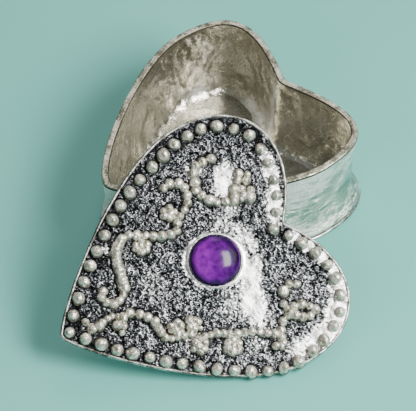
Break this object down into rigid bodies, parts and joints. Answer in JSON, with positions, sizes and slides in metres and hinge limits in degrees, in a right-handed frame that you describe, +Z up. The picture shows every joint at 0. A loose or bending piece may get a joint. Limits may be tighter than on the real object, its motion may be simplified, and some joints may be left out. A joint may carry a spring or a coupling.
{
  "type": "heart-shaped keepsake box",
  "caption": "Small heart-shaped pewter keepsake box, open, with a loose lid leaning on its rim; the lid has a domed purple stone, a beaded border and beaded sprigs.",
  "frame": {"origin": "middle of the underside of the box's base plate", "axes": "+Z up, the tip of the box's heart towards -Y, its lobes towards +Y; the lid leans in front of the box towards +X and -Y"},
  "size_m": [0.075, 0.0773, 0.0303],
  "materials": {
    "wall_pewter": "satin brushed pewter",
    "base_pewter": "matt cast pewter",
    "lid_pewter": "granular pewter, blackened in the hollows",
    "bead_pewter": "satin pewter",
    "bezel_silver": "polished pewter",
    "stone": "polished purple stone"
  },
  "bodies": {
    "box": {"box_wall": "wall_pewter", "base_plate": "base_pewter"},
    "lid": {"lid_plate": "lid_pewter", "lid_flange": "base_pewter", "bezel": "bezel_silver", "cabochon": "stone", "border_bead_01": "bead_pewter", "border_bead_02": "bead_pewter", "border_bead_03": "bead_pewter", "border_bead_04": "bead_pewter", "border_bead_05": "bead_pewter", "border_bead_06": "bead_pewter", "border_bead_07": "bead_pewter", "border_bead_08": "bead_pewter", "border_bead_09": "bead_pewter", "border_bead_10": "bead_pewter", "border_bead_11": "bead_pewter", "border_bead_12": "bead_pewter", "border_bead_13": "bead_pewter", "border_bead_14": "bead_pewter", "border_bead_15": "bead_pewter", "border_bead_16": "bead_pewter", "border_bead_17": "bead_pewter", "border_bead_18": "bead_pewter", "border_bead_19": "bead_pewter", "border_bead_20": "bead_pewter", "border_bead_21": "bead_pewter", "border_bead_22": "bead_pewter", "border_bead_23": "bead_pewter", "border_bead_24": "bead_pewter", "border_bead_25": "bead_pewter", "border_bead_26": "bead_pewter", "border_bead_27": "bead_pewter", "border_bead_28": "bead_pewter", "border_bead_29": "bead_pewter", "border_bead_30": "bead_pewter", "border_bead_31": "bead_pewter", "border_bead_32": "bead_pewter", "border_bead_33": "bead_pewter", "border_bead_34": "bead_pewter", "border_bead_35": "bead_pewter", "border_bead_36": "bead_pewter", "border_bead_37": "bead_pewter", "border_bead_38": "bead_pewter", "border_bead_39": "bead_pewter", "border_bead_40": "bead_pewter", "border_bead_41": "bead_pewter", "border_bead_42": "bead_pewter", "border_bead_43": "bead_pewter", "border_bead_44": "bead_pewter", "border_bead_45": "bead_pewter", "border_bead_46": "bead_pewter", "border_bead_47": "bead_pewter", "border_bead_48": "bead_pewter", "border_bead_49": "bead_pewter", "upper_vine": "bead_pewter", "left_vine": "bead_pewter", "lower_left_vine": "bead_pewter", "lower_right_vine": "bead_pewter", "right_sprig": "bead_pewter"}
  },
  "joints": [
    {"name": "lid_lift", "type": "slide", "parent": "box", "child": "lid", "axis": [0, 0, 1], "range_m": [0, 0.06]}
  ]
}
